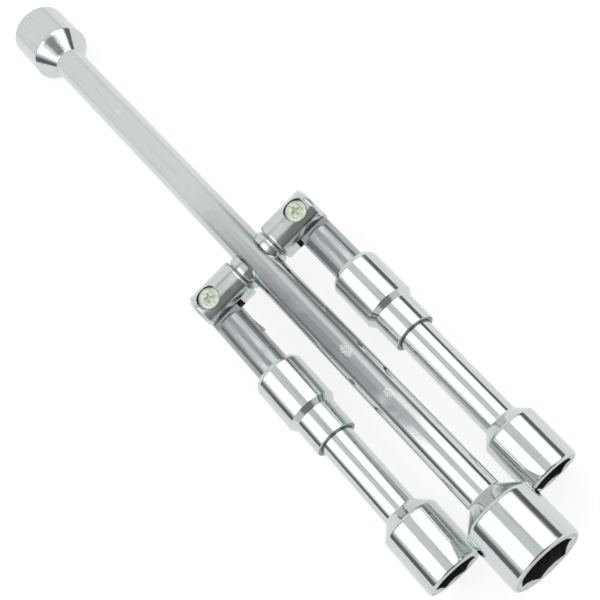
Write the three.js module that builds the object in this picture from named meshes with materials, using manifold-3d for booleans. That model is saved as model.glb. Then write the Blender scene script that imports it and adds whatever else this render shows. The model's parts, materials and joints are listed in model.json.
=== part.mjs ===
// Folding four-way lug wrench, folded for storage and lying on a flat surface.
//
// A long round bar carries a hexagon socket at each end. Two forks, welded to the bar's flanks
// on one cross axis, each hold a shorter arm with a socket of its own. The cross axis is clocked
// a few degrees, so that the folded arms tuck in below the large socket. A stepped sleeve slides
// on each arm; with the arm swung out it is pushed over the fork to lock the hinge.
//
// Wrench frame, used inside the assembly group: the origin is where the bar's axis meets the
// cross axis, +X runs along the bar to the large socket, +Y to the right fork, +Z up.
// Arm frame: the origin is the hinge pivot, +X runs along the arm, +Z along the hinge axis.

import * as THREE from 'three';
import { mergeVertices } from 'three/addons/utils/BufferGeometryUtils.js';
import Module from 'manifold-3d';

const wasm = await Module();
wasm.setup();

// ---------------------------------------------------------------- driving dimensions, mm, degrees

const GAP = 0.3; // clearance between neighbouring pieces
const OVERLAP = 1; // how far cutting tools run past the faces that they cut
const FINE = 40; // sides of large round surfaces
const MEDIUM = 32; // sides of rods
const COARSE = 20; // sides of screws, washers and bores

const BAR_RADIUS = 7.5;
const SPIGOT_RADIUS = 4.5; // turned-down rod end inside a socket's back
const SPIGOT_LENGTH = 5;

// Sockets: start is the distance from the cross axis or pivot to the socket's small back end.
const NEAR_SOCKET = { start: 139.5, end: 170.7, radius: 15.2, cone: 7.5, flats: 21, hexDepth: 19, clock: 0 };
const FAR_SOCKET = { start: 160.5, end: 191.3, radius: 14.25, cone: 8.5, flats: 19, hexDepth: 19, clock: 0 };
const LEFT_SOCKET = { start: 118.1, end: 148.6, radius: 12.5, cone: 5.4, flats: 17, hexDepth: 18, clock: 44 };
const RIGHT_SOCKET = { start: 120.1, end: 147.5, radius: 11.75, cone: 4.4, flats: 16, hexDepth: 16, clock: 47 };
const RIM_CHAMFER = 0.7;
const SHOULDER_ROUND = 2.2; // arc between a socket's cone and its cylinder
const RELIEF_DEPTH = 2.6; // round relief below the hexagon, for a wheel stud

const PIVOT_OFFSET = 25.5; // from the bar's axis to each hinge pivot
const LEFT_CLOCK = 5.65; // tilt of a hinge axis about the cross axis
const RIGHT_CLOCK = 6;
const LEFT_SPLAY = 0.83; // folded arm, turned away from the bar
const RIGHT_SPLAY = -1.02; // folded arm, turned in towards the bar

const FORK_RADIUS = 9.1;
const FORK_END = 33.2; // outer end face, from the bar's axis
const FORK_ROOT = 9.9; // where the fork's body starts
const FORK_END_CHAMFER = 1.5;
const FORK_NECK_RADIUS = 6.6;
const FORK_SPIGOT_RADIUS = 4.5; // in the bar's cross bore
const FORK_SPIGOT_START = 1.5;
const SLOT_HALF_HEIGHT = 3.3;
const SLOT_BOTTOM = 16.4; // from the bar's axis
const COLLAR = { start: 6.2, end: 9.3, radius: 8.4 };

const ARM_RADIUS = 7.3;
const ARM_SHOULDER = 10.9; // from the pivot to the arm's round part
const ARM_SHOULDER_CHAMFER = 1.1;
const TONGUE_END = 8.7; // heel, which meets the slot's bottom when the arm is swung out

const SCREW = { shank: 2.9, head: 4.85, headTop: 7.75, headBottom: 5.9, end: -7.4 };
const RECESS = { width: 1.15, length: 5.2, depth: 1.2 };
const COUNTERBORE = { radius: 5.2, floor: 4.6 };
const WASHER = { radius: 4.7, bottom: 4.9, top: 5.6, split: 0.8 };
const NUT = { radius: 4.85, bottom: -7.7, top: -4.9, slot: 1.2, slotDepth: 0.9 };

const SLEEVE = { length: 37.8, radius: 11.15, nose: 9.4, step: 22.2, stepLength: 2.7, bore: 9.5, noseBore: 7.65 };
const SLEEVE_PARK = { left: 42.3, right: 34 }; // from the pivot to the sleeve's hinge end
const CATCH = { start: 18, end: 24.5, top: 8.1, toe: 7.3, floor: 5.2, halfWidth: 1.5 };

// ---------------------------------------------------------------- materials

const chrome = new THREE.MeshStandardMaterial({ color: 0xc9cdce, roughness: 0.12, metalness: 1 });
const zinc = new THREE.MeshStandardMaterial({ color: 0xc3cbb4, roughness: 0.42, metalness: 0.8 });
const springSteel = new THREE.MeshStandardMaterial({ color: 0x8f9499, roughness: 0.35, metalness: 1 });

// ---------------------------------------------------------------- solid helpers

const radians = THREE.MathUtils.degToRad;

// Welds a closed geometry's vertices and hands it to the boolean library.
function toSolid(geometry) {
  const bare = geometry.clone();
  bare.deleteAttribute('normal');
  bare.deleteAttribute('uv');
  const welded = mergeVertices(bare, 1e-4);
  const corners = welded.index.array;
  const kept = [];
  for (let i = 0; i < corners.length; i += 3) {
    const [a, b, c] = [corners[i], corners[i + 1], corners[i + 2]];
    if (a !== b && b !== c && c !== a) kept.push(a, b, c);
  }
  const vertProperties = new Float32Array(welded.attributes.position.array);
  const triVerts = new Uint32Array(kept);
  return new wasm.Manifold(new wasm.Mesh({ numProp: 3, vertProperties, triVerts }));
}

// Makes the named node of a finished solid.
function node(name, solid, material) {
  const result = solid.getMesh();
  const geometry = new THREE.BufferGeometry();
  const positions = new Float32Array(result.vertProperties);
  geometry.setAttribute('position', new THREE.BufferAttribute(positions, 3));
  geometry.setIndex(new THREE.BufferAttribute(new Uint32Array(result.triVerts), 1));
  geometry.computeVertexNormals();
  const mesh = new THREE.Mesh(geometry, material);
  mesh.name = name;
  return mesh;
}

// Revolves [distance along axis, radius] points about +X.
function turned(profile, sides) {
  const points = profile.map(([along, radius]) => new THREE.Vector2(radius, along));
  return toSolid(new THREE.LatheGeometry(points, sides).rotateZ(-Math.PI / 2));
}

// Revolves [distance along axis, radius] points about +Y or +Z.
function turnedY(profile, sides) {
  const points = profile.map(([along, radius]) => new THREE.Vector2(radius, along));
  return toSolid(new THREE.LatheGeometry(points, sides));
}

function turnedZ(profile, sides) {
  const points = profile.map(([along, radius]) => new THREE.Vector2(radius, along));
  return toSolid(new THREE.LatheGeometry(points, sides).rotateX(Math.PI / 2));
}

// A plain round rod between two stations of its axis.
function rodProfile(from, to, radius) {
  return [[from, 0], [from, radius], [to, radius], [to, 0]];
}

function box(minimum, maximum) {
  const size = maximum.map((value, i) => value - minimum[i]);
  const centre = maximum.map((value, i) => (value + minimum[i]) / 2);
  return toSolid(new THREE.BoxGeometry(...size).translate(...centre));
}

// Points of an arc that rounds a profile corner, from one tangent point to the other.
function roundedCorner([x0, r0], [x1, r1], [x2, r2], radius, steps) {
  const corner = new THREE.Vector2(x1, r1);
  const back = new THREE.Vector2(x0, r0).sub(corner).normalize();
  const ahead = new THREE.Vector2(x2, r2).sub(corner).normalize();
  const half = Math.acos(back.dot(ahead)) / 2;
  const trim = radius / Math.tan(half);
  const toCentre = back.clone().add(ahead).normalize().multiplyScalar(radius / Math.sin(half));
  const centre = corner.clone().add(toCentre);
  const first = corner.clone().addScaledVector(back, trim).sub(centre);
  const last = corner.clone().addScaledVector(ahead, trim).sub(centre);
  const start = Math.atan2(first.y, first.x);
  let sweep = Math.atan2(last.y, last.x) - start;
  if (sweep > Math.PI) sweep -= 2 * Math.PI;
  if (sweep < -Math.PI) sweep += 2 * Math.PI;
  return Array.from({ length: steps + 1 }, (_, i) => {
    const angle = start + (sweep * i) / steps;
    return [centre.x + radius * Math.cos(angle), centre.y + radius * Math.sin(angle)];
  });
}

// ---------------------------------------------------------------- sockets

// Across-corner radius of a hexagon from its size across flats.
function hexCornerRadius(flats) {
  return flats / Math.sqrt(3);
}

// A socket along +X with its mouth at spec.end. The back end is flush with the rod it sits on.
function socketSolid(spec, rodRadius) {
  const { start, end, radius, cone, flats, hexDepth, clock } = spec;
  const back = [start, rodRadius];
  const shoulder = [start + cone, radius];
  const rim = [end - RIM_CHAMFER, radius];
  const body = turned([
    [start, 0],
    back,
    ...roundedCorner(back, shoulder, rim, SHOULDER_ROUND, 4),
    rim,
    [end, radius - RIM_CHAMFER],
    [end, 0],
  ], FINE);

  const cornerRadius = hexCornerRadius(flats);
  const hexFloor = end - hexDepth;
  const hexagon = toSolid(
    new THREE.CylinderGeometry(cornerRadius, cornerRadius, hexDepth + OVERLAP, 6, 1, false, Math.PI / 2)
      .translate(0, hexFloor + (hexDepth + OVERLAP) / 2, 0)
      .rotateZ(-Math.PI / 2)
      .rotateX(radians(clock)),
  );
  const leadIn = turned([
    [end - 2.0, 0],
    [end - 2.0, flats / 2 - 0.4],
    [end + OVERLAP, cornerRadius + 0.9],
    [end + OVERLAP, 0],
  ], FINE);
  const reliefRadius = flats / 2 - 1.6;
  const relief = turned([
    [hexFloor - RELIEF_DEPTH, 0],
    [hexFloor - RELIEF_DEPTH + 1.6, reliefRadius],
    [hexFloor + OVERLAP, reliefRadius],
    [hexFloor + OVERLAP, 0],
  ], COARSE);
  const spigotBore = turned(
    rodProfile(start - OVERLAP, start + SPIGOT_LENGTH + GAP, SPIGOT_RADIUS + GAP),
    COARSE,
  );
  return body.subtract(hexagon).subtract(leadIn).subtract(relief).subtract(spigotBore);
}

// ---------------------------------------------------------------- main bar

// The rod ends in a spigot at each end and has one cross bore for the forks' spigots.
function mainBarSolid() {
  const nearShoulder = NEAR_SOCKET.start - GAP;
  const farShoulder = -FAR_SOCKET.start + GAP;
  const rod = turned([
    [farShoulder - SPIGOT_LENGTH, 0],
    [farShoulder - SPIGOT_LENGTH, SPIGOT_RADIUS],
    [farShoulder, SPIGOT_RADIUS],
    [farShoulder, BAR_RADIUS],
    [nearShoulder, BAR_RADIUS],
    [nearShoulder, SPIGOT_RADIUS],
    [nearShoulder + SPIGOT_LENGTH, SPIGOT_RADIUS],
    [nearShoulder + SPIGOT_LENGTH, 0],
  ], MEDIUM);
  const reach = BAR_RADIUS + OVERLAP;
  const crossBore = turnedY(rodProfile(-reach, reach, FORK_SPIGOT_RADIUS + GAP), COARSE);
  return rod.subtract(crossBore);
}

// ---------------------------------------------------------------- forks and collars

// The bar with its clearance, seen from a frame clocked by an angle about the cross axis.
function barClearance(clock) {
  return turned(rodProfile(-30, 30, BAR_RADIUS + GAP), FINE).rotate([0, -clock, 0]);
}

// A fork on +Y in the clocked frame, whose slot is level.
function forkSolid(clock) {
  const neckStart = 4;
  const body = turnedY([
    [neckStart, 0],
    [neckStart, FORK_NECK_RADIUS],
    [FORK_ROOT, FORK_NECK_RADIUS],
    [FORK_ROOT, 7.4],
    [FORK_ROOT + 0.5, 8.2],
    [FORK_ROOT + 1.5, FORK_RADIUS],
    [FORK_END - FORK_END_CHAMFER, FORK_RADIUS],
    [FORK_END, FORK_RADIUS - FORK_END_CHAMFER],
    [FORK_END, 0],
  ], FINE);
  const spigot = turnedY(rodProfile(FORK_SPIGOT_START, FORK_ROOT, FORK_SPIGOT_RADIUS), COARSE);

  const reach = FORK_RADIUS + OVERLAP;
  const slot = box(
    [-reach, SLOT_BOTTOM, -SLOT_HALF_HEIGHT],
    [reach, FORK_END + OVERLAP, SLOT_HALF_HEIGHT],
  );
  const shankBore = turnedZ(rodProfile(-reach, reach, SCREW.shank + GAP), COARSE);
  const topBore = turnedZ(rodProfile(COUNTERBORE.floor, reach, COUNTERBORE.radius), FINE);
  const bottomBore = turnedZ(rodProfile(-reach, -COUNTERBORE.floor, COUNTERBORE.radius), FINE);
  const bores = shankBore.add(topBore).add(bottomBore).translate(0, PIVOT_OFFSET, 0);
  return body.subtract(barClearance(clock)).add(spigot).subtract(slot).subtract(bores);
}

// A round collar on +Y that fills the joint between the bar's flank and the fork's body.
function collarSolid(clock) {
  const { start, end, radius } = COLLAR;
  const bore = FORK_NECK_RADIUS + GAP;
  const ring = turnedY([
    [start, bore],
    [start, radius],
    [end - 1.2, radius],
    [end - 0.4, radius - 0.5],
    [end, radius - 1.2],
    [end, bore],
    [start, bore],
  ], FINE);
  return ring.subtract(barClearance(clock));
}

// ---------------------------------------------------------------- hinge hardware, arm frame

function pivotScrewSolid() {
  const { shank, head, headTop, headBottom, end } = SCREW;
  const body = turnedZ([
    [end, 0],
    [end, shank - 0.4],
    [end + 0.4, shank],
    [headBottom, shank],
    [headBottom, head],
    [headTop - 0.4, head],
    [headTop - 0.1, head - 0.5],
    [headTop, head - 1.6],
    [headTop, 0],
  ], COARSE);
  const { width, length, depth } = RECESS;
  const floor = headTop - depth;
  const across = box([-length / 2, -width / 2, floor], [length / 2, width / 2, headTop + OVERLAP]);
  const along = box([-width / 2, -length / 2, floor], [width / 2, length / 2, headTop + OVERLAP]);
  return body.subtract(across.add(along).rotate([0, 0, 40]));
}

function springWasherSolid() {
  const { radius, bottom, top, split } = WASHER;
  const bore = SCREW.shank + GAP;
  const ring = turnedZ([[bottom, bore], [bottom, radius], [top, radius], [top, bore], [bottom, bore]], COARSE);
  const cut = box([0, -split / 2, bottom - OVERLAP], [radius + OVERLAP, split / 2, top + OVERLAP]);
  return ring.subtract(cut);
}

function pivotNutSolid() {
  const { radius, bottom, top, slot, slotDepth } = NUT;
  const bore = SCREW.shank + GAP;
  const ring = turnedZ([
    [bottom, bore],
    [bottom, radius - 0.5],
    [bottom + 0.5, radius],
    [top, radius],
    [top, bore],
    [bottom, bore],
  ], COARSE);
  const reach = radius + OVERLAP;
  const driverSlot = box([-reach, -slot / 2, bottom - OVERLAP], [reach, slot / 2, bottom + slotDepth]);
  return ring.subtract(driverSlot);
}

// ---------------------------------------------------------------- arms, arm frame

// inner is +1 where the bar lies on the arm's +Y side when folded, and -1 on its -Y side.
function armRodSolid(socket, inner, catchPocket) {
  const shoulder = socket.start - GAP;
  const tongueHalf = SLOT_HALF_HEIGHT - GAP;
  const rod = turned([
    [ARM_SHOULDER, 0],
    [ARM_SHOULDER, ARM_RADIUS - ARM_SHOULDER_CHAMFER],
    [ARM_SHOULDER + 1.6, ARM_RADIUS],
    [shoulder, ARM_RADIUS],
    [shoulder, SPIGOT_RADIUS],
    [shoulder + SPIGOT_LENGTH, SPIGOT_RADIUS],
    [shoulder + SPIGOT_LENGTH, 0],
  ], MEDIUM);

  // The outline is square at the outer heel and round about the pivot on the inner side.
  const side = ARM_RADIUS + OVERLAP;
  const outline = new THREE.Shape();
  outline.moveTo(ARM_SHOULDER + 2, -side);
  outline.lineTo(-TONGUE_END, -side);
  outline.lineTo(-TONGUE_END, 0);
  outline.absarc(0, 0, TONGUE_END, Math.PI, Math.PI / 2, true);
  outline.lineTo(ARM_SHOULDER + 2, TONGUE_END);
  outline.closePath();
  const slab = new THREE.ExtrudeGeometry(outline, {
    depth: 2 * tongueHalf,
    bevelEnabled: false,
    curveSegments: 8,
  }).translate(0, 0, -tongueHalf);
  const round = turned(rodProfile(-TONGUE_END - OVERLAP, ARM_SHOULDER + 2, ARM_RADIUS), MEDIUM);
  const plate = toSolid(slab).scale([1, inner, 1]);
  const tongue = round.intersect(plate);
  const reach = ARM_RADIUS + OVERLAP;
  const pivotBore = turnedZ(rodProfile(-reach, reach, SCREW.shank + GAP), COARSE);
  return rod.add(tongue).subtract(pivotBore).subtract(catchPocket);
}

// The small ramp that stands out of the arm, built on +Y and turned about the arm to its side.
function catchSolid(turn) {
  const { start, end, top, toe, floor, halfWidth } = CATCH;
  const outline = new THREE.Shape([
    new THREE.Vector2(start, floor),
    new THREE.Vector2(end, floor),
    new THREE.Vector2(end, top),
    new THREE.Vector2(end - 0.5, top),
    new THREE.Vector2(start, toe),
  ]);
  const wedge = new THREE.ExtrudeGeometry(outline, { depth: 2 * halfWidth, bevelEnabled: false });
  return toSolid(wedge.translate(0, 0, -halfWidth)).rotate([turn, 0, 0]);
}

function catchPocketSolid(turn) {
  const { start, end, floor, halfWidth } = CATCH;
  return box(
    [start - GAP, floor - GAP, -halfWidth - GAP],
    [end + GAP, ARM_RADIUS + OVERLAP, halfWidth + GAP],
  ).rotate([turn, 0, 0]);
}

// Large end towards the hinge, wide enough for the fork; the nose runs on the arm.
function sleeveSolid(park) {
  const { length, radius, nose, step, stepLength, bore, noseBore } = SLEEVE;
  const ring = turned([
    [0, bore + 0.4],
    [0, radius - 0.9],
    [0.7, radius - 0.3],
    [1.8, radius],
    ...roundedCorner([0, radius], [step, radius], [step + stepLength, nose], 1.2, 3),
    [step + stepLength, nose],
    [length - 0.6, nose],
    [length, nose - 0.5],
    [length, noseBore + 0.3],
    [length - 0.4, noseBore],
    [step + 1.8, noseBore],
    [step - 0.4, bore],
    [0.6, bore],
    [0, bore + 0.4],
  ], FINE);
  return ring.translate(park, 0, 0);
}

// ---------------------------------------------------------------- assembly

// One hinge: its fork and collar on the bar's flank, its hardware and its folded arm.
function buildSide({ label, direction, clock, splay, socket, park, catchTurn }) {
  const fork = node(`${label}_fork`, forkSolid(clock).scale([1, direction, 1]), chrome);
  const collar = node(`${label}_root_collar`, collarSolid(clock).scale([1, direction, 1]), chrome);

  const pivot = new THREE.Group();
  pivot.position.y = direction * PIVOT_OFFSET;
  pivot.add(
    node(`${label}_pivot_screw`, pivotScrewSolid(), zinc),
    node(`${label}_spring_washer`, springWasherSolid(), springSteel),
    node(`${label}_pivot_nut`, pivotNutSolid(), zinc),
  );

  const arm = new THREE.Group();
  arm.rotation.z = radians(direction * splay);
  const pocket = catchPocketSolid(catchTurn);
  arm.add(
    node(`${label}_arm_rod`, armRodSolid(socket, -direction, pocket), chrome),
    node(`${label}_arm_socket`, socketSolid(socket, ARM_RADIUS), chrome),
    node(`${label}_lock_sleeve`, sleeveSolid(park), chrome),
    node(`${label}_sleeve_catch`, catchSolid(catchTurn), chrome),
  );
  pivot.add(arm);

  const clocked = new THREE.Group();
  clocked.rotation.y = radians(clock);
  clocked.add(fork, collar, pivot);
  return clocked;
}

// Lying down, the wrench rests on the far socket's rim and on a side socket's rim.
function restAngle() {
  const clock = radians(LEFT_CLOCK);
  const along = LEFT_SOCKET.end * Math.cos(radians(LEFT_SPLAY));
  const armRimX = along * Math.cos(clock) - LEFT_SOCKET.radius * Math.sin(clock);
  const armRimZ = -along * Math.sin(clock) - LEFT_SOCKET.radius * Math.cos(clock);
  return Math.atan2(-FAR_SOCKET.radius - armRimZ, armRimX + FAR_SOCKET.end);
}

const wrench = new THREE.Group();
wrench.rotation.y = -restAngle();
wrench.add(
  node('main_bar', mainBarSolid(), chrome),
  node('main_socket_near', socketSolid(NEAR_SOCKET, BAR_RADIUS), chrome),
  node('main_socket_far', socketSolid(FAR_SOCKET, BAR_RADIUS).rotate([0, 0, 180]), chrome),
  buildSide({
    label: 'left',
    direction: -1,
    clock: LEFT_CLOCK,
    splay: LEFT_SPLAY,
    socket: LEFT_SOCKET,
    park: SLEEVE_PARK.left,
    catchTurn: 0,
  }),
  buildSide({
    label: 'right',
    direction: 1,
    clock: RIGHT_CLOCK,
    splay: RIGHT_SPLAY,
    socket: RIGHT_SOCKET,
    park: SLEEVE_PARK.right,
    catchTurn: -90,
  }),
);

// The part's origin is on the ground, under the middle of the wrench's bounding box.
const part = new THREE.Group();
part.add(wrench);
part.updateMatrixWorld(true);
const bounds = new THREE.Box3().setFromObject(part, true);
const middle = bounds.getCenter(new THREE.Vector3());
wrench.position.set(-middle.x, -middle.y, -bounds.min.z);

export default part;
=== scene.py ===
import json
import math

import bmesh
import bpy
from mathutils import Matrix, Vector


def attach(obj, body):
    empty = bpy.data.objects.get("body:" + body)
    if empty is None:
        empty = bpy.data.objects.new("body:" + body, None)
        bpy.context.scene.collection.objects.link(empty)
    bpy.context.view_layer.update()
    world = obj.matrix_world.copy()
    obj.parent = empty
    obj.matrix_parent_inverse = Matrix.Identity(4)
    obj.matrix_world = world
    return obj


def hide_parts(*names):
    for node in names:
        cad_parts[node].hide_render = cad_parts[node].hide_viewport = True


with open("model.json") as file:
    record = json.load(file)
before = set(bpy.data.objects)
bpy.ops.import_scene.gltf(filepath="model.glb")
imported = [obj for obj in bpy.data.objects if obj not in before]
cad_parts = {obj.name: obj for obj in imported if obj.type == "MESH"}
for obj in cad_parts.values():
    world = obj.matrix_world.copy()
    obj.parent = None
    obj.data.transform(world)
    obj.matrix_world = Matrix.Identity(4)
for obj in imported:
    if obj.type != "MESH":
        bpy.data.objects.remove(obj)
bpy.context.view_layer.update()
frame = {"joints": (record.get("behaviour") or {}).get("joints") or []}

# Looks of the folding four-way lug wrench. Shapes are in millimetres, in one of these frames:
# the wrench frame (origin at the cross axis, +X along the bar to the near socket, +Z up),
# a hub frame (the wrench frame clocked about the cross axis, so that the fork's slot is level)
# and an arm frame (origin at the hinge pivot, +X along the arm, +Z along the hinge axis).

MM = 0.001
TAU = 2 * math.pi

# ------------------------------------------------------------------ frames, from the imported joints

joints = {joint["name"]: joint for joint in frame["joints"]}


def make_frame(origin, x_axis, z_axis):
    """A rigid frame from an origin in metres, its X axis and a vector near its Z axis."""
    x_axis = Vector(x_axis).normalized()
    z_axis = Vector(z_axis)
    z_axis = (z_axis - x_axis * z_axis.dot(x_axis)).normalized()
    y_axis = z_axis.cross(x_axis)
    rotation = Matrix((x_axis, y_axis, z_axis)).transposed()
    return Matrix.Translation(Vector(origin)) @ rotation.to_4x4()


RIGHT_CLOCK = math.radians(6)  # tilt of the right hinge axis against the wrench's +Z
pivot = {side: Vector(joints[f"{side}_arm_fold"]["pos_m"]) for side in ("left", "right")}
hinge_axis = {
    "left": -Vector(joints["left_arm_fold"]["axis"]),
    "right": Vector(joints["right_arm_fold"]["axis"]),
}
hub = (pivot["left"] + pivot["right"]) / 2
rest_tilt = RIGHT_CLOCK - math.atan2(hinge_axis["right"].x, hinge_axis["right"].z)
cross_axis = Vector((0, 1, 0))
wrench_frame = make_frame(
    hub,
    (math.cos(rest_tilt), 0, math.sin(rest_tilt)),
    (-math.sin(rest_tilt), 0, math.cos(rest_tilt)),
)
hub_frame = {
    side: make_frame(hub, cross_axis.cross(axis), axis) for side, axis in hinge_axis.items()
}
pivot_frame = {
    side: make_frame(pivot[side], cross_axis.cross(axis), axis) for side, axis in hinge_axis.items()
}
arm_frame = {
    side: make_frame(pivot[side], joints[f"{side}_sleeve_slide"]["axis"], axis)
    for side, axis in hinge_axis.items()
}

# ------------------------------------------------------------------ dimensions, mm

PIVOT_OFFSET = 25.5
BAR_RADIUS = 7.5
ARM_RADIUS = 7.3
SOCKETS = {
    "near": dict(start=139.5, end=170.7, radius=15.2, cone=7.5, flats=21, depth=19, clock=0),
    "far": dict(start=160.5, end=191.3, radius=14.25, cone=8.5, flats=19, depth=19, clock=0),
    "left": dict(start=118.1, end=148.6, radius=12.5, cone=5.4, flats=17, depth=18, clock=44),
    "right": dict(start=120.1, end=147.5, radius=11.75, cone=4.4, flats=16, depth=16, clock=47),
}
FORK_RADIUS = 9.1
FORK_END = 33.2
SLOT_HALF = 3.3
SLOT_BOTTOM = 16.4
SLEEVE_PARK = {"left": 42.3, "right": 34.0}  # from the pivot to the sleeve's hinge end
SLEEVE_LENGTH = 37.8
SLEEVE_RADIUS, SLEEVE_BORE = 11.15, 9.5
NOSE_RADIUS, NOSE_BORE = 9.4, 7.52
CATCH_START, CATCH_END, CATCH_TOP, CATCH_TOE = 18.0, 24.5, 8.1, 7.3
LEAD_DEPTH = 1.0  # countersink round a socket's hexagon
LEAD_SLOPE = 2.3  # how fast it narrows, per millimetre of depth
LEAD_STEPS = 14
BORE_RADIUS = 3.2  # screw's hole in the fork and the tongue
COUNTERBORE_RADIUS = 5.2
COUNTERBORE_FLOOR = 4.6
TONGUE_HEEL = 8.7
TONGUE_GAP = 0.3

# ------------------------------------------------------------------ mesh helpers


def rounded(points, steps=4):
    """Profile points (along, radius[, fillet]) with each fillet drawn as an arc."""
    made = []
    for i, point in enumerate(points):
        corner = Vector(point[:2])
        if len(point) < 3 or i in (0, len(points) - 1):
            made.append(tuple(corner))
            continue
        back = (Vector(points[i - 1][:2]) - corner).normalized()
        ahead = (Vector(points[i + 1][:2]) - corner).normalized()
        half = back.angle(ahead) / 2
        centre = corner + (back + ahead).normalized() * (point[2] / math.sin(half))
        first = corner + back * (point[2] / math.tan(half)) - centre
        last = corner + ahead * (point[2] / math.tan(half)) - centre
        start = math.atan2(first.y, first.x)
        sweep = (math.atan2(last.y, last.x) - start + math.pi) % TAU - math.pi
        for k in range(steps + 1):
            angle = start + sweep * k / steps
            made.append((
                centre.x + point[2] * math.cos(angle),
                centre.y + point[2] * math.sin(angle),
            ))
    return made


def ring_point(axis, along, radius, angle):
    """A point of a ring about the X, Y or Z axis."""
    a, b = radius * math.cos(angle), radius * math.sin(angle)
    return {"x": (along, a, b), "y": (b, along, a), "z": (a, b, along)}[axis]


def loft(rings, axis="x", sides=96, closed=False, inside=None):
    """Skins rings (along, radius or radius(angle)) about an axis; a radius of 0 is a pole.
    From ring number inside on, the faces take the second material."""
    bm = bmesh.new()
    rows = []
    for along, radius in rings:
        if not callable(radius) and radius < 1e-6:
            rows.append([bm.verts.new(ring_point(axis, along, 0, 0))])
            continue
        angles = [TAU * k / sides for k in range(sides)]
        radii = [radius(a) if callable(radius) else radius for a in angles]
        rows.append([bm.verts.new(ring_point(axis, along, r, a)) for r, a in zip(radii, angles)])
    pairs = list(zip(rows, rows[1:]))
    if closed:
        pairs.append((rows[-1], rows[0]))
    for index, (low, high) in enumerate(pairs):
        for k in range(sides):
            n = (k + 1) % sides
            corners = [
                low[k % len(low)], low[n % len(low)], high[n % len(high)], high[k % len(high)]
            ]
            face = bm.faces.new(list(dict.fromkeys(corners)))
            if inside is not None and index >= inside:
                face.material_index = 1
    bmesh.ops.recalc_face_normals(bm, faces=bm.faces)
    return bm


def held(points, edge=0.3, pitch=6.0):
    """Splits long straight runs, so that a fillet's shading stays beside the fillet."""
    made = [points[0]]
    for low, high in zip(points, points[1:]):
        low, high = Vector(low), Vector(high)
        length = (high - low).length
        if length > 4 * edge and min(low.y, high.y) > 0:
            count = max(1, round((length - 2 * edge) / pitch))
            for k in range(count + 1):
                share = (edge + (length - 2 * edge) * k / count) / length
                made.append(tuple(low.lerp(high, share)))
        made.append(tuple(high))
    return made


def lathe(points, axis="x", sides=96, closed=False):
    """Revolves profile points (along, radius[, fillet]) about an axis."""
    return loft(held(rounded(points)), axis, sides, closed)


def rod(start, end, radius, axis="x", sides=96):
    """A plain cylinder about an axis."""
    return loft(held([(start, 0), (start, radius), (end, radius), (end, 0)]), axis, sides)


def prism(outline, low, high):
    """An outline in the XY plane, extruded along Z."""
    bm = bmesh.new()
    bottom = [bm.verts.new((x, y, low)) for x, y in outline]
    top = [bm.verts.new((x, y, high)) for x, y in outline]
    bm.faces.new(bottom)
    bm.faces.new(top)
    for k in range(len(outline)):
        n = (k + 1) % len(outline)
        bm.faces.new((bottom[k], bottom[n], top[n], top[k]))
    bmesh.ops.recalc_face_normals(bm, faces=bm.faces)
    return bm


def block(low, high):
    """A box between two opposite corners."""
    outline = [(low[0], low[1]), (high[0], low[1]), (high[0], high[1]), (low[0], high[1])]
    return prism(outline, low[2], high[2])


def moved(bm, matrix):
    """Transforms a bmesh; a mirrored one keeps its normals outwards."""
    bm.transform(matrix)
    if matrix.determinant() < 0:
        bmesh.ops.reverse_faces(bm, faces=bm.faces)
    return bm


def temporary(bm):
    """A throwaway object for modifiers to work on."""
    mesh = bpy.data.meshes.new("temporary")
    bm.to_mesh(mesh)
    bm.free()
    made = bpy.data.objects.new("temporary", mesh)
    bpy.context.scene.collection.objects.link(made)
    return made


def evaluated(made, extra=()):
    """The object's mesh with its modifiers, as a new bmesh. The temporary objects go."""
    depsgraph = bpy.context.evaluated_depsgraph_get()
    depsgraph.update()
    result = bmesh.new()
    result.from_object(made, depsgraph)
    for used in (made, *extra):
        mesh = used.data
        bpy.data.objects.remove(used)
        bpy.data.meshes.remove(mesh)
    return result


def carved(base, *steps):
    """Applies (operation, bmesh) booleans to base, in millimetres."""
    made = temporary(base)
    tools = []
    for operation, tool in steps:
        modifier = made.modifiers.new("carve", "BOOLEAN")
        modifier.operation = operation
        modifier.solver = "EXACT"
        modifier.object = temporary(tool)
        tools.append(modifier.object)
    return evaluated(made, tools)


def bevelled(bm, width, segments=3, angle=35):
    """Rounds the edges that are sharper than angle, in degrees."""
    bmesh.ops.remove_doubles(bm, verts=bm.verts, dist=0.002)
    bmesh.ops.dissolve_degenerate(bm, edges=bm.edges, dist=0.002)
    made = temporary(bm)
    modifier = made.modifiers.new("bevel", "BEVEL")
    modifier.width = width
    modifier.segments = segments
    modifier.limit_method = "ANGLE"
    modifier.angle_limit = math.radians(angle)
    return evaluated(made)


def show(node, bm, at, body, materials, sharp=32):
    """Makes the finished piece, at its frame, that stands for a CAD node."""
    bm.transform(Matrix.Scale(MM, 4))
    mesh = bpy.data.meshes.new(f"{node}_visual")
    bm.to_mesh(mesh)
    bm.free()
    for material in materials:
        mesh.materials.append(material)
    mesh.shade_smooth()
    mesh.set_sharp_from_angle(angle=math.radians(sharp))
    piece = bpy.data.objects.new(f"{node}_visual", mesh)
    bpy.context.scene.collection.objects.link(piece)
    piece.matrix_world = at
    weighted = piece.modifiers.new("weighted", "WEIGHTED_NORMAL")
    weighted.keep_sharp = True
    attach(piece, body)
    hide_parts(node)
    return piece


# ------------------------------------------------------------------ materials


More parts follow.
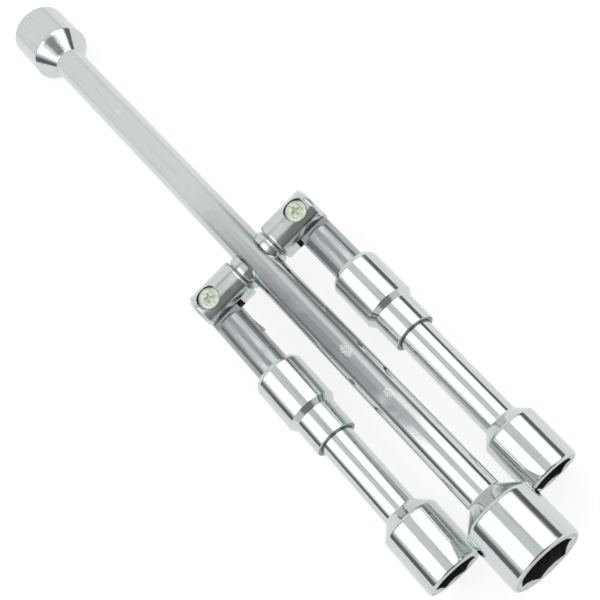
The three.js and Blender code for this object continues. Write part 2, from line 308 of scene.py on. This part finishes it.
class Nodes:
    """Short calls for building one node tree."""

    def __init__(self, tree):
        self.tree = tree

    def feed(self, socket, given):
        """Links an output socket, or sets a plain value."""
        if isinstance(given, bpy.types.NodeSocket):
            self.tree.links.new(given, socket)
        else:
            socket.default_value = given

    def add(self, kind, inputs=(), **settings):
        node = self.tree.nodes.new(kind)
        for name, value in settings.items():
            setattr(node, name, value)
        for name, value in dict(inputs).items():
            self.feed(node.inputs[name], value)
        return node

    def math(self, operation, a, b=0.0):
        return self.add("ShaderNodeMath", {0: a, 1: b}, operation=operation).outputs[0]

    def vector(self, operation, *inputs):
        return self.add("ShaderNodeVectorMath", enumerate(inputs), operation=operation)

    def step(self, value, low, high, out_low=0.0, out_high=1.0):
        """A smooth step of value from low to high."""
        node = self.add("ShaderNodeMapRange", interpolation_type="SMOOTHSTEP")
        names = ("Value", "From Min", "From Max", "To Min", "To Max")
        for name, given in zip(names, (value, low, high, out_low, out_high)):
            self.feed(node.inputs[name], given)
        return node.outputs["Result"]

    def mix(self, factor, a, b):
        node = self.add("ShaderNodeMix", data_type="RGBA")
        for index, given in ((0, factor), (6, a), (7, b)):
            self.feed(node.inputs[index], given)
        return node.outputs[2]

    def noise(self, vector, scale, detail=2.0, roughness=0.5):
        inputs = {"Vector": vector, "Scale": scale, "Detail": detail, "Roughness": roughness}
        return self.add("ShaderNodeTexNoise", inputs).outputs["Fac"]

    def stretched(self, source, scale):
        return self.add("ShaderNodeMapping", {"Vector": source, "Scale": scale}).outputs["Vector"]

    def bump(self, height, distance, strength=1.0, normal=None):
        inputs = {"Height": height, "Distance": distance, "Strength": strength}
        if normal is not None:
            inputs["Normal"] = normal
        return self.add("ShaderNodeBump", inputs).outputs["Normal"]


def grey(value, tint=(1, 1, 1)):
    return (value * tint[0], value * tint[1], value * tint[2], 1)


CHROME_TINT = (0.597, 0.642, 0.630)


def chrome_material(
    name, grain_axis="x", draw=1.0, peen=1.0, rough=0.07, scuffed=(), shaded_pitted_run=None, streaky=1.0
):
    """Bright chrome over drawn or machined steel, with its grain along an axis.
    draw and peen scale the long waves and the fine pits; streaky scales the streaks' tone.
    scuffed lists (place, size) of small marks; shaded_pitted_run is (start, end, soft, amount) along
    X, a run whose base colour is darkened as painted shade, dimming its reflections, and which is
    rougher and finely pitted. Lengths in metres."""
    material = bpy.data.materials.new(name)
    material.use_nodes = True
    tree = Nodes(material.node_tree)
    shader = material.node_tree.nodes["Principled BSDF"]
    coordinates = tree.add("ShaderNodeTexCoord").outputs["Object"]
    along = {"x": (1, 0, 0), "y": (0, 1, 0), "z": (0, 0, 1)}[grain_axis]

    def scaled(lengthwise, across):
        return tree.stretched(coordinates, [lengthwise if on else across for on in along])

    waves = tree.noise(scaled(22, 130), 1.0, 1.5)
    streaks = tree.noise(scaled(70, 1900), 1.0, 2.0, 0.55)
    pits = tree.noise(coordinates, 1500, 2.5, 0.6)
    normal = tree.bump(waves, 0.00012 * draw)
    normal = tree.bump(streaks, 0.000006 * draw, 1.0, normal)
    normal = tree.bump(pits, 0.000006 * peen, 1.0, normal)
    run = None
    # A run along X: painted shade in its base colour, with a rougher, finely pitted finish.
    if shaded_pitted_run:
        start, end, soft, amount = shaded_pitted_run
        x = tree.add("ShaderNodeSeparateXYZ", {"Vector": coordinates}).outputs["X"]
        past_start = tree.step(x, start - soft, start + soft)
        before_end = tree.step(x, end - soft, end + soft, 1.0, 0.0)
        run = tree.math("MULTIPLY", past_start, before_end)
        blotches = tree.step(tree.noise(scaled(110, 1300), 1.0, 3.0, 0.6), 0.35, 0.7, 0.7, 1.0)
        run = tree.math("MULTIPLY", tree.math("MULTIPLY", run, blotches), amount)
        tooth = tree.noise(coordinates, 1150, 3.0, 0.65)
        normal = tree.bump(tooth, 0.000022, run, normal)
    rubbed = 0.0
    for place, size in scuffed:
        apart = tree.vector("SUBTRACT", coordinates, place).outputs[0]
        apart = tree.vector("DIVIDE", apart, size).outputs[0]
        apart = tree.vector("LENGTH", apart).outputs["Value"]
        apart = tree.math("ADD", apart, tree.noise(coordinates, 700, 2.0))
        rubbed = tree.math("MAXIMUM", rubbed, tree.step(apart, 0.9, 1.5, 1.0, 0.0))
    if scuffed:
        fine = tree.stretched(coordinates, (1900, 2900, 2900))
        nicks = tree.step(tree.noise(fine, 1.0, 3.0, 0.7), 0.44, 0.68)
        nicks = tree.math("MULTIPLY", nicks, rubbed)
        normal = tree.bump(nicks, 0.00006, 1.0, normal)
    tree.feed(shader.inputs["Normal"], normal)

    smudge = tree.noise(coordinates, 95, 3.0, 0.6)
    haze = tree.step(smudge, 0.42, 0.75, rough * 0.8, rough * 1.9 + 0.03)
    scuffs = tree.noise(scaled(160, 2600), 1.0, 3.0, 0.65)
    scratched = tree.step(scuffs, 0.62, 0.74, 0.0, 0.07 * streaky)
    roughness = tree.math("ADD", haze, scratched)
    if run is not None:
        roughness = tree.math("ADD", roughness, tree.math("MULTIPLY", run, 0.16))
    tree.feed(shader.inputs["Roughness"], roughness)

    worn = grey(0.79, (0.592, 0.618, 0.622))
    tone = tree.step(tree.noise(scaled(30, 900), 1.0, 3.5, 0.65), 0.48, 0.8, 0.0, streaky)
    colour = tree.mix(tone, grey(1, CHROME_TINT), worn)
    colour = tree.mix(tree.step(pits, 0.5, 0.75, 0.0, 0.25), colour, grey(0.5))
    # Painted shade: the run's base colour is darkened to dim its reflections.
    if run is not None:
        colour = tree.mix(run, colour, (0.305, 0.315, 0.325, 1))
    if scuffed:
        colour = tree.mix(tree.math("MULTIPLY", nicks, 0.6), colour, (0.80, 0.78, 0.74, 1))
    tree.feed(shader.inputs["Base Color"], colour)
    shader.inputs["Metallic"].default_value = 1.0
    return material


def plain_metal(name, colour, dark, rough, scale, metallic=1.0, bump=0.00001):
    """Satin or unplated metal with a mottled tone and a fine, even tooth."""
    material = bpy.data.materials.new(name)
    material.use_nodes = True
    tree = Nodes(material.node_tree)
    shader = material.node_tree.nodes["Principled BSDF"]
    coordinates = tree.add("ShaderNodeTexCoord").outputs["Object"]
    mottle = tree.step(tree.noise(coordinates, scale, 3.0, 0.6), 0.4, 0.68)
    tree.feed(shader.inputs["Base Color"], tree.mix(mottle, colour, dark))
    haze = tree.noise(coordinates, scale * 1.7, 2.0)
    tree.feed(shader.inputs["Roughness"], tree.step(haze, 0.35, 0.7, rough * 0.8, rough * 1.3))
    tooth = tree.noise(coordinates, scale * 6, 2.0)
    tree.feed(shader.inputs["Normal"], tree.bump(tooth, bump))
    shader.inputs["Metallic"].default_value = metallic
    return material


# The bar darkens a run about the hub: painted shade, with a rougher, pitted finish.
chrome_bar = chrome_material(
    "chrome_bar", "x", draw=0.6, peen=1.6, rough=0.08, streaky=0.45,
    shaded_pitted_run=(-0.03, 0.064, 0.02, 0.33),
    scuffed=(
        ((0.0625, 0.0008, 0.0074), (0.0042, 0.0022, 0.003)),
        ((0.0875, 0.0013, 0.0073), (0.0030, 0.0018, 0.003)),
        ((-0.108, 0.0007, 0.0074), (0.0034, 0.0018, 0.003)),
    ),
)
# The rods darken a run near the hinge: painted shade, with a rougher, pitted finish.
chrome_rod = chrome_material("chrome_rod", "x", peen=1.4, shaded_pitted_run=(-0.02, 0.06, 0.012, 0.95))
chrome_socket = chrome_material("chrome_socket", "x", draw=0.5, peen=2.2, rough=0.06)
chrome_sleeve = chrome_material("chrome_sleeve", "x", draw=0.7, peen=2.0, rough=0.07)
chrome_fork = chrome_material("chrome_fork", "y", draw=0.7, peen=1.5, rough=0.16)
chrome_weld = chrome_material("chrome_weld", "y", draw=0.2, peen=2.5, rough=0.16)
# Near-black bores: painted shade inside the socket hexagons and the sleeve bores.
bore_painted_shade = plain_metal("bore_painted_shade", grey(0.017, (0.88, 1.0, 1.12)), grey(0.010), 0.5, 300, 0.2)


def mottled(name, light, dark, tint, rough, scale):
    """Bare metal between two greys of one tint."""
    return plain_metal(name, grey(light, tint), grey(dark, tint), rough, scale)


# Darker end face of a socket: painted shade that dims the face's reflection of the floor.
shaded_socket_face = mottled("shaded_socket_face", 0.40, 0.31, (0.97, 1, 1), 0.25, 400)
lead_in = mottled("lead_in", 0.52, 0.42, (0.98, 1, 0.98), 0.14, 500)
slot_grey = mottled("slot_grey", 0.60, 0.45, (0.95, 1, 1.01), 0.35, 400)
# Darker nose end face of a sleeve: painted shade.
shaded_nose_face = mottled("shaded_nose_face", 0.25, 0.17, (1, 0.98, 1), 0.3, 700)
zinc_yellow = plain_metal(
    "zinc_yellow", (0.63, 0.71, 0.58, 1), (0.44, 0.50, 0.405, 1), 0.45, 620, 0.7, 0.00004
)
# The cross recess is coloured darker than the head: painted shade.
zinc_recess_shade = plain_metal(
    "zinc_recess_shade", (0.55, 0.62, 0.51, 1), (0.37, 0.42, 0.35, 1), 0.55, 900, 0.2
)
spring_steel = plain_metal("spring_steel", grey(0.42), grey(0.26), 0.3, 500)

# ------------------------------------------------------------------ sockets


def hexagon_radius(flats, clock):
    """Radius of a hexagonal hole by angle, with slightly rounded corners."""
    corner = flats / math.sqrt(3)

    def radius(angle):
        turned = (angle - math.radians(clock)) % (TAU / 6) - TAU / 12
        return min(flats / 2 / math.cos(turned), corner - 0.28)

    return radius


def socket_shape(spec, rod_radius):
    """A socket along +X: materials are outside, bore (near-black, painted shade), lead-in and end
    face (darker, painted shade).
    """
    start, end, outer, flats = spec["start"], spec["end"], spec["radius"], spec["flats"]
    corner = flats / math.sqrt(3)
    hexagon = hexagon_radius(flats, spec["clock"])
    outside = rounded([
        (start - 0.2, 0),
        (start - 0.2, rod_radius - 0.6),
        (start - 0.2, rod_radius + 0.12),
        (start + 0.25, rod_radius + 0.35, 0.2),
        (start + spec["cone"], outer, 2.2),
        (end, outer, 1.2),
        (end, corner + 0.3, 0.12),
        (end - 0.7, corner - 1.3),
    ], 5)[:-1]
    rings = held(outside)
    inside_from = len(rings) - 1
    for k in range(1, LEAD_STEPS + 1):
        depth = LEAD_DEPTH * k / LEAD_STEPS
        cone = corner + 0.08 - depth * LEAD_SLOPE
        rings.append((end - depth, lambda angle, cone=cone: max(hexagon(angle), cone)))
    floor = end - spec["depth"]
    for depth in (4, 7, 11, spec["depth"] - 0.3):
        rings.append((end - depth, hexagon))
    relief = flats / 2 - 1.6
    rings += [
        (floor, lambda angle: hexagon(angle) - 0.3),
        (floor, relief + 0.3),
        (floor - 0.3, relief),
        (floor - 1.0, relief),
        (floor - 2.6, 0),
    ]
    # Faces from the hexagon inwards take the near-black bore material: painted shade.
    shape = loft(rings, "x", 240, inside=inside_from)
    for face in shape.faces:
        middle = face.calc_center_median()
        angle = math.atan2(middle.z, middle.y)
        if middle.x > end - LEAD_DEPTH and face.material_index == 1:
            if middle.yz.length > hexagon(angle) + 0.03:
                face.material_index = 2
        # Flat end faces take the darker end-face material: painted shade.
        elif face.normal.x > 0.96:
            face.material_index = 3
    return shape


socket_materials = (chrome_socket, bore_painted_shade, lead_in, shaded_socket_face)
socket_places = {
    "near": ("main_socket_near", wrench_frame, "frame", BAR_RADIUS),
    "far": (
        "main_socket_far", wrench_frame @ Matrix.Rotation(math.pi, 4, "Z"), "frame", BAR_RADIUS
    ),
    "left": ("left_arm_socket", arm_frame["left"], "left_arm", ARM_RADIUS),
    "right": ("right_arm_socket", arm_frame["right"], "right_arm", ARM_RADIUS),
}
for name, (node, at, body, rod_radius) in socket_places.items():
    shape = socket_shape(SOCKETS[name], rod_radius)
    show(node, shape, at, body, socket_materials)

# ------------------------------------------------------------------ bar

bar_shape = rod(-SOCKETS["far"]["start"] - 1, SOCKETS["near"]["start"] + 1, BAR_RADIUS, sides=128)
show("main_bar", bar_shape, wrench_frame, "frame", (chrome_bar,))

# ------------------------------------------------------------------ forks and root collars


def in_slot(bm):
    """Faces that line the fork's slot take the second material."""
    for face in bm.faces:
        centre = face.calc_center_median()
        if abs(centre.z) < SLOT_HALF + 0.02 and centre.y > SLOT_BOTTOM - 0.02:
            face.material_index = 1
    return bm


def fork_shape():
    """A slotted fork along +Y, bored for its pivot screw."""
    body = lathe([
        (6.0, 0),
        (6.0, 6.9),
        (9.55, 6.9, 0.25),
        (9.9, FORK_RADIUS, 1.35),
        (FORK_END - 1.5, FORK_RADIUS, 0.8),
        (FORK_END, FORK_RADIUS - 1.5, 0.8),
        (FORK_END, 0),
    ], "y", 128)
    slot = block((-12, SLOT_BOTTOM, -SLOT_HALF), (12, FORK_END + 3, SLOT_HALF))
    at_pivot = Matrix.Translation((0, PIVOT_OFFSET, 0))
    shank_bore = moved(rod(-12, 12, BORE_RADIUS, "z", 48), at_pivot)
    top_bore = moved(rod(COUNTERBORE_FLOOR, 12, COUNTERBORE_RADIUS, "z", 72), at_pivot)
    bottom_bore = moved(rod(-12, -COUNTERBORE_FLOOR, COUNTERBORE_RADIUS, "z", 72), at_pivot)
    shape = carved(
        body,
        ("DIFFERENCE", slot),
        ("DIFFERENCE", shank_bore),
        ("DIFFERENCE", top_bore),
        ("DIFFERENCE", bottom_bore),
    )
    return bevelled(shape, 0.14)


def collar_shape(clock):
    """A weld collar, saddled on the bar, with a full round outside."""
    ring = lathe([
        (5.0, 6.7),
        (5.0, 8.1),
        (7.2, 8.4, 3.0),
        (9.0, 8.2, 0.95),
        (9.3, 6.95),
        (9.3, 6.7),
    ], "y", 96, closed=True)
    bar = moved(rod(-20, 20, BAR_RADIUS - 0.02, "x", 128), Matrix.Rotation(-clock, 4, "Y"))
    return carved(ring, ("DIFFERENCE", bar))


for side, direction in (("left", -1), ("right", 1)):
    clock = rest_tilt + math.atan2(hinge_axis[side].x, hinge_axis[side].z)
    mirror = Matrix.Scale(direction, 4, (0, 1, 0))
    at = hub_frame[side]
    fork = moved(in_slot(fork_shape()), mirror)
    show(f"{side}_fork", fork, at, "frame", (chrome_fork, slot_grey))
    collar = moved(collar_shape(clock), mirror)
    show(f"{side}_root_collar", collar, at, "frame", (chrome_weld,), 40)

# ------------------------------------------------------------------ hinge hardware


def screw_shape(turn):
    """A cheese-head screw; its cross recess is turned by so many degrees."""
    body = lathe([
        (-7.4, 0),
        (-7.4, 2.9, 0.4),
        (5.9, 2.9),
        (5.9, 4.85, 0.15),
        (7.35, 4.85, 0.45),
        (7.75, 3.6, 1.5),
        (7.75, 0),
    ], "z", 72)

    def cross_arm(angle):
        """A recess wing that narrows towards its floor."""
        shape = block((-2.9, -0.75, 6.95), (2.9, 0.75, 8.3))
        for vert in shape.verts:
            if vert.co.z < 7:
                vert.co.x *= 0.5
                vert.co.y *= 0.5
        return moved(shape, Matrix.Rotation(math.radians(angle), 4, "Z"))

    shape = carved(
        body, ("DIFFERENCE", cross_arm(turn)), ("DIFFERENCE", cross_arm(turn + 90))
    )
    # Faces inside the cross recess take the darker recess material: painted shade.
    for face in shape.faces:
        centre = face.calc_center_median()
        if 6.2 < centre.z < 7.7 and centre.xy.length < 2.9:
            face.material_index = 1
    return bevelled(shape, 0.12, 2, 40)


def washer_shape():
    """A split spring washer: a flat wire wound one turn with a slight pitch."""
    bm = bmesh.new()
    sections = []
    count = 72
    gap = math.radians(12)
    for k in range(count + 1):
        angle = gap / 2 + (TAU - gap) * k / count
        lift = 0.12 * (k / count - 0.5)
        section = []
        for radius, height in ((3.25, 4.98), (4.65, 4.98), (4.65, 5.52), (3.25, 5.52)):
            point = (radius * math.cos(angle), radius * math.sin(angle), height + lift)
            section.append(bm.verts.new(point))
        sections.append(section)
    for low, high in zip(sections, sections[1:]):
        for k in range(4):
            bm.faces.new((low[k], low[(k + 1) % 4], high[(k + 1) % 4], high[k]))
    bm.faces.new(sections[0])
    bm.faces.new(sections[-1])
    bmesh.ops.recalc_face_normals(bm, faces=bm.faces)
    return bevelled(bm, 0.08, 2, 40)


def nut_shape():
    """A round nut with a screwdriver slot across its free end."""
    ring = lathe([
        (-7.7, 3.2, 0.2),
        (-7.7, 4.85, 0.45),
        (-4.9, 4.85),
        (-4.9, 3.2),
        (-7.2, 3.2),
    ], "z", 72, closed=True)
    slot = block((-6, -0.6, -9), (6, 0.6, -6.8))
    return bevelled(carved(ring, ("DIFFERENCE", slot)), 0.09, 2, 40)


for side, turn in (("left", 60), ("right", 85)):
    at = pivot_frame[side]
    screw = screw_shape(turn)
    show(f"{side}_pivot_screw", screw, at, "frame", (zinc_yellow, zinc_recess_shade))
    show(f"{side}_spring_washer", washer_shape(), at, "frame", (spring_steel,))
    show(f"{side}_pivot_nut", nut_shape(), at, "frame", (zinc_yellow,))

# ------------------------------------------------------------------ arms, catches and sleeves


def arm_shape(socket, inner):
    """The rod with its flat tongue; inner is the side of the bar, where the heel is round."""
    shaft = lathe([
        (10.9, 0),
        (10.9, ARM_RADIUS - 1.9, 0.2),
        (12.4, ARM_RADIUS, 0.5),
        (socket["start"] + 1, ARM_RADIUS),
        (socket["start"] + 1, 0),
    ], "x", 128)
    stock = rod(-10, 13, ARM_RADIUS, "x", 96)
    heel = TONGUE_HEEL
    side = ARM_RADIUS + 1
    outline = [(13, -side * inner), (-heel, -side * inner), (-heel, 0)]
    for k in range(1, 17):
        angle = math.pi - math.pi / 2 * k / 16
        outline.append((heel * math.cos(angle), heel * math.sin(angle) * inner))
    outline.append((13, heel * inner))
    plate = prism(outline, -SLOT_HALF + TONGUE_GAP, SLOT_HALF - TONGUE_GAP)
    tongue = carved(stock, ("INTERSECT", plate))
    bore = rod(-9, 9, BORE_RADIUS, "z", 48)
    shape = carved(tongue, ("UNION", shaft), ("DIFFERENCE", bore))
    return bevelled(shape, 0.15)


def catch_shape(turn):
    """The sleeve's catch: a short ramp raised from the rod, with an abrupt end."""
    half = 1.5
    outline = [
        (CATCH_START, 6.6), (CATCH_START, CATCH_TOE), (CATCH_END - 0.9, CATCH_TOP),
        (CATCH_END, CATCH_TOP), (CATCH_END, 6.6),
    ]
    ramp = bevelled(prism(outline, -half, half), 0.18)
    return moved(ramp, Matrix.Rotation(math.radians(turn), 4, "X"))


def sleeve_shape(park):
    """Large end towards the hinge; the nose's end face is darker, painted shade, and the bores are
    near-black, painted shade.
    """
    outside = rounded([
        (park, 9.9),
        (park, 10.15, 0.12),
        (park + 1.8, SLEEVE_RADIUS, 0.9),
        (park + 22.2, SLEEVE_RADIUS, 0.5),
        (park + 24.9, NOSE_RADIUS, 0.35),
        (park + SLEEVE_LENGTH, NOSE_RADIUS, 0.45),
        (park + SLEEVE_LENGTH, 7.72),
    ], 5)
    inside = rounded([
        (park + SLEEVE_LENGTH, 7.72),
        (park + 37.6, NOSE_BORE),
        (park + 24.0, NOSE_BORE),
        (park + 21.8, SLEEVE_BORE),
        (park + 0.5, SLEEVE_BORE),
        (park, 9.9),
    ], 5)
    bm = loft(outside + inside[1:-1], "x", 144, closed=True)
    for face in bm.faces:
        centre = face.calc_center_median()
        radius = centre.yz.length
        # The nose's end face and the bores take darker materials: painted shade.
        if centre.x > park + 37.65 and radius < 9.1:
            face.material_index = 1
        elif radius < 7.7 or (centre.x < park + 23.9 and radius < 9.7):
            face.material_index = 2
    return bm


sleeve_materials = (chrome_sleeve, shaded_nose_face, bore_painted_shade)
for side, inner, catch_turn in (("left", 1, 0), ("right", -1, -90)):
    at = arm_frame[side]
    body = f"{side}_arm"
    arm = arm_shape(SOCKETS[side], inner)
    show(f"{side}_arm_rod", arm, at, body, (chrome_rod,))
    catch = catch_shape(catch_turn)
    show(f"{side}_sleeve_catch", catch, at, body, (chrome_rod,))
    sleeve = sleeve_shape(SLEEVE_PARK[side])
    sleeve_body = f"{side}_sleeve"
    show(
        f"{side}_lock_sleeve", sleeve, at, sleeve_body, sleeve_materials, 28
    )

# ------------------------------------------------------------------ floor, light and camera

floor_mesh = bpy.data.meshes.new("floor")
floor_bm = bmesh.new()
bmesh.ops.create_grid(floor_bm, x_segments=2, y_segments=2, size=60)
floor_bm.to_mesh(floor_mesh)
floor_bm.free()
floor = bpy.data.objects.new("floor", floor_mesh)
bpy.context.scene.collection.objects.link(floor)
paper = bpy.data.materials.new("pale_paper")
paper.use_nodes = True
paper_shader = paper.node_tree.nodes["Principled BSDF"]
paper_shader.inputs["Base Color"].default_value = (0.26, 0.262, 0.26, 1)
paper_shader.inputs["Emission Color"].default_value = (1, 1, 1, 1)
paper_shader.inputs["Emission Strength"].default_value = 0.79
paper_shader.inputs["Roughness"].default_value = 0.9
paper_shader.inputs["Specular IOR Level"].default_value = 0.0
floor_mesh.materials.append(paper)


def studio_world():
    """A white studio by world direction: two long soft boxes overhead (split by side, the
    bearing about the X axis), a greyer middle, a pale backdrop and a narrow dark front."""
    world = bpy.data.worlds.new("studio")
    world.use_nodes = True
    tree = Nodes(world.node_tree)
    world.node_tree.nodes.clear()
    direction = tree.add("ShaderNodeTexCoord").outputs["Generated"]
    split = tree.add("ShaderNodeSeparateXYZ", {"Vector": direction}).outputs
    x, y, z = split["X"], split["Y"], split["Z"]
    squares = tree.math("ADD", tree.math("MULTIPLY", y, y), tree.math("MULTIPLY", z, z))
    spread = tree.math("SQRT", squares)
    side = tree.math("DIVIDE", y, tree.math("MAXIMUM", spread, 0.001))

    def between(value, low, high, soft):
        up = tree.step(value, low - soft, low + soft)
        down = tree.step(value, high - soft, high + soft, 1.0, 0.0)
        return tree.math("MULTIPLY", up, down)

    boxes = tree.math(
        "MAXIMUM", between(side, 0.37, 0.91, 0.05), between(side, -0.84, -0.22, 0.05)
    )
    over_box = tree.mix(boxes, grey(0.88, (0.97, 1.0, 1.0)), grey(2.1))
    mid_right = between(side, 0.42, 0.80, 0.12)
    mid_left = between(side, -1.2, -0.22, 0.1)
    middle = tree.mix(mid_right, grey(0.66, (1.0, 0.97, 1.03)), grey(1.1))
    middle = tree.mix(mid_left, middle, grey(0.50, (1.01, 0.97, 1.04)))
    low_dark = grey(0.17, (0.98, 0.98, 1.10))
    horizon = tree.step(z, 0.26, 0.44, 1.0, 0.0)
    over_box = tree.mix(horizon, over_box, low_dark)
    middle = tree.mix(horizon, middle, grey(0.30, (0.96, 1.0, 1.04)))
    backdrop = tree.mix(tree.step(z, 0.1, 0.4, 0.6, 0.0), grey(1.0), grey(0.9))
    front = tree.mix(horizon, grey(0.26, (1.0, 0.97, 1.0)), grey(0.03))
    front = tree.mix(tree.step(z, 0.14, 0.22, 1.0, 0.0), front, grey(0.8))
    abreast = tree.math("ABSOLUTE", y)
    front = tree.mix(tree.step(abreast, 0.32, 0.55), front, grey(0.8))

    sky = tree.mix(tree.step(x, -0.41, -0.355), middle, over_box)
    sky = tree.mix(tree.step(x, -0.62, -0.54, 1.0, 0.0), sky, backdrop)
    sky = tree.mix(tree.step(x, 0.34, 0.46), sky, front)
    sky = tree.mix(tree.step(z, 0.02, 0.05, 1.0, 0.0), sky, grey(0.95))
    background = tree.add("ShaderNodeBackground", {"Color": sky, "Strength": 1.0})
    output = tree.add("ShaderNodeOutputWorld")
    tree.feed(output.inputs["Surface"], background.outputs[0])
    bpy.context.scene.world = world


studio_world()
bpy.context.scene.view_settings.view_transform = "Standard"
bpy.context.scene.view_settings.look = "None"

CAMERA_PLACE = (251.75, 18.59, 385.06)  # wrench frame, mm
CAMERA_AIM = (28.0, 1.0, 0.0)
CAMERA_UP = (-0.62504, 0.70699, 0.33089)
place, aim = Vector(CAMERA_PLACE), Vector(CAMERA_AIM)
back = (place - aim).normalized()
right = Vector(CAMERA_UP).cross(back).normalized()
camera_data = bpy.data.cameras.new("camera")
camera_data.sensor_width = 36
camera_data.lens = 65.68
camera_data.clip_start = 0.01
camera = bpy.data.objects.new("camera", camera_data)
bpy.context.scene.collection.objects.link(camera)
rotation = Matrix((right, back.cross(right), back)).transposed().to_4x4()
camera.matrix_world = wrench_frame @ Matrix.Translation(place * MM) @ rotation
bpy.context.scene.camera = camera
